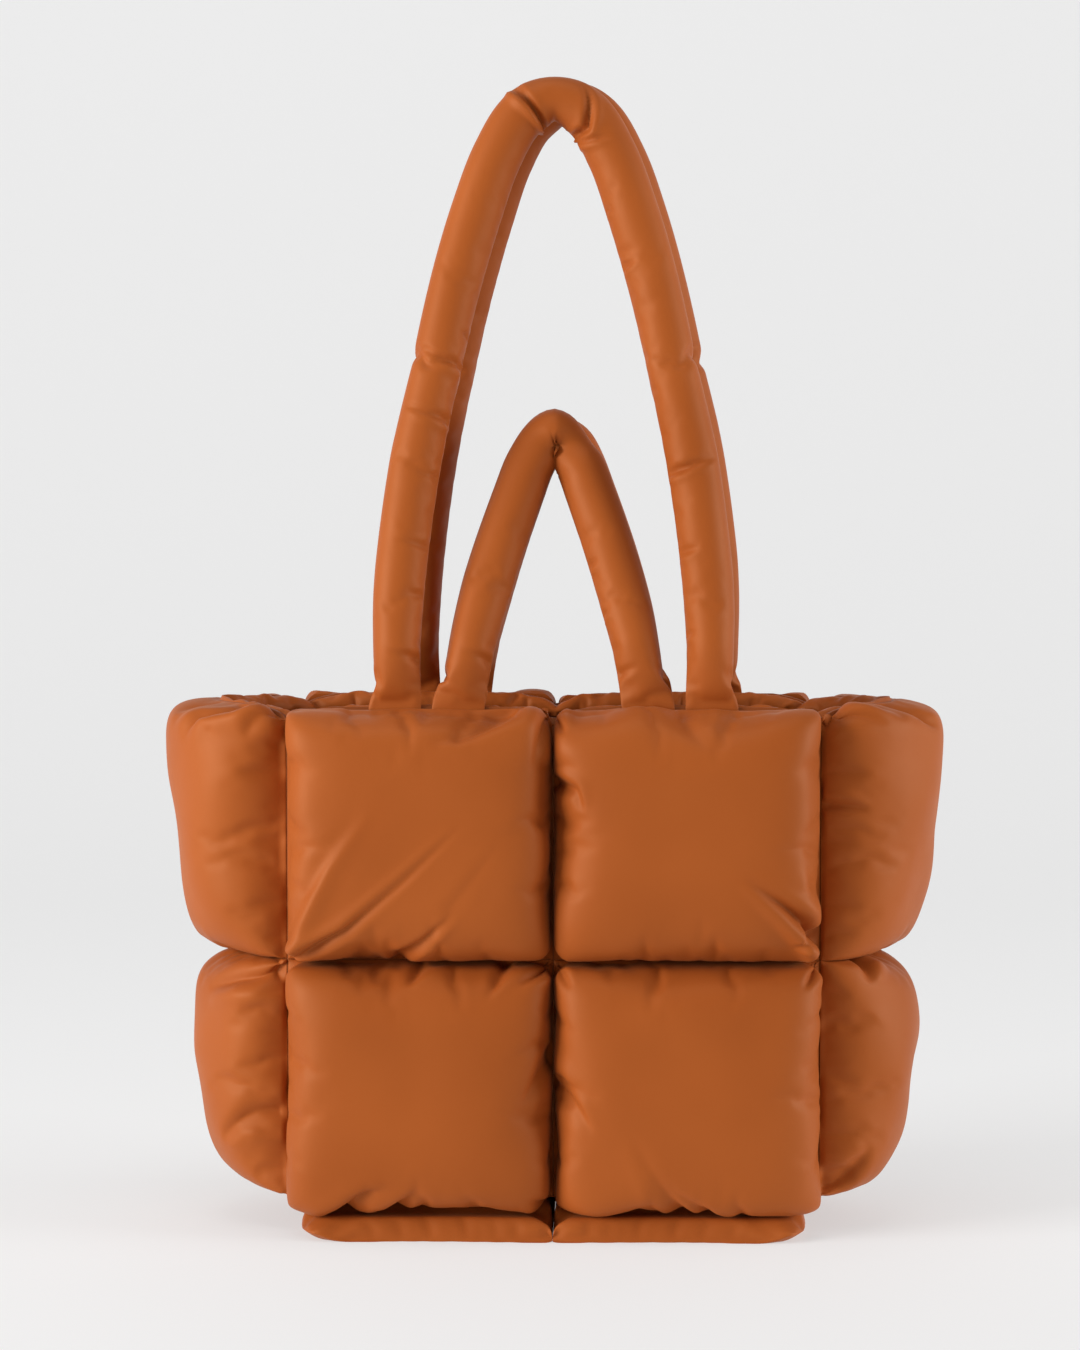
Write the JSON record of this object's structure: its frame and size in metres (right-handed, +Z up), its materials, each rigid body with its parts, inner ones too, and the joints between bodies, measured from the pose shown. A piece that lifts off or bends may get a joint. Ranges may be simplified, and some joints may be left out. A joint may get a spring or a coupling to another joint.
{
  "type": "puffer tote bag",
  "caption": "Quilted puffer tote bag with plump square pads, folding side gussets, an open top, and a long and a short padded handle on each side.",
  "frame": {"origin": "on the floor, under the middle of the bag", "axes": "+X to the right when looking at the front, front towards -Y, +Z up"},
  "size_m": [0.4838, 0.2086, 0.7232],
  "materials": {
    "puff_cloth": "padded burnt orange nylon with a soft satin sheen",
    "lining_cloth": "thin nylon, matte, the same burnt orange in its own shade"
  },
  "bodies": {
    "root": {"lining": "lining_cloth", "front_lower_left_pad": "puff_cloth", "front_lower_right_pad": "puff_cloth", "back_lower_left_pad": "puff_cloth", "back_lower_right_pad": "puff_cloth", "front_upper_left_pad": "puff_cloth", "front_upper_right_pad": "puff_cloth", "back_upper_left_pad": "puff_cloth", "back_upper_right_pad": "puff_cloth", "left_lower_gusset_pad": "puff_cloth", "right_lower_gusset_pad": "puff_cloth", "left_upper_gusset_pad": "puff_cloth", "right_upper_gusset_pad": "puff_cloth", "base_left_pad": "puff_cloth", "base_right_pad": "puff_cloth", "front_long_handle": "puff_cloth", "front_short_handle": "puff_cloth", "back_long_handle": "puff_cloth", "back_short_handle": "puff_cloth"}
  },
  "joints": []
}
